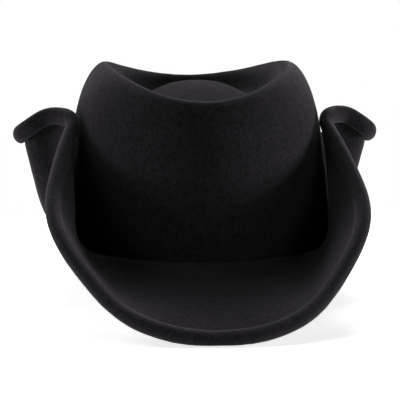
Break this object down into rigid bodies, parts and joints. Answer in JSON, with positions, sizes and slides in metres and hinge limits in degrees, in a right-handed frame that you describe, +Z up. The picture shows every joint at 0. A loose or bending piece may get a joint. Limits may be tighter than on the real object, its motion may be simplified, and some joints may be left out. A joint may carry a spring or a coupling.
{
  "type": "felt western hat",
  "caption": "Black wool-felt western hat: telescoped crown with side peaks, wide brim with its sides rolled up against the crown and a rolled edge.",
  "frame": {"origin": "on the surface that the hat stands on, under the middle of its outer box", "axes": "+Z up, the wearer looks along -Y, +X to the wearer's left"},
  "size_m": [0.2364, 0.3818, 0.1452],
  "materials": {
    "black_felt": "matt brushed wool felt"
  },
  "bodies": {
    "root": {"crown": "black_felt", "brim": "black_felt"}
  },
  "joints": []
}
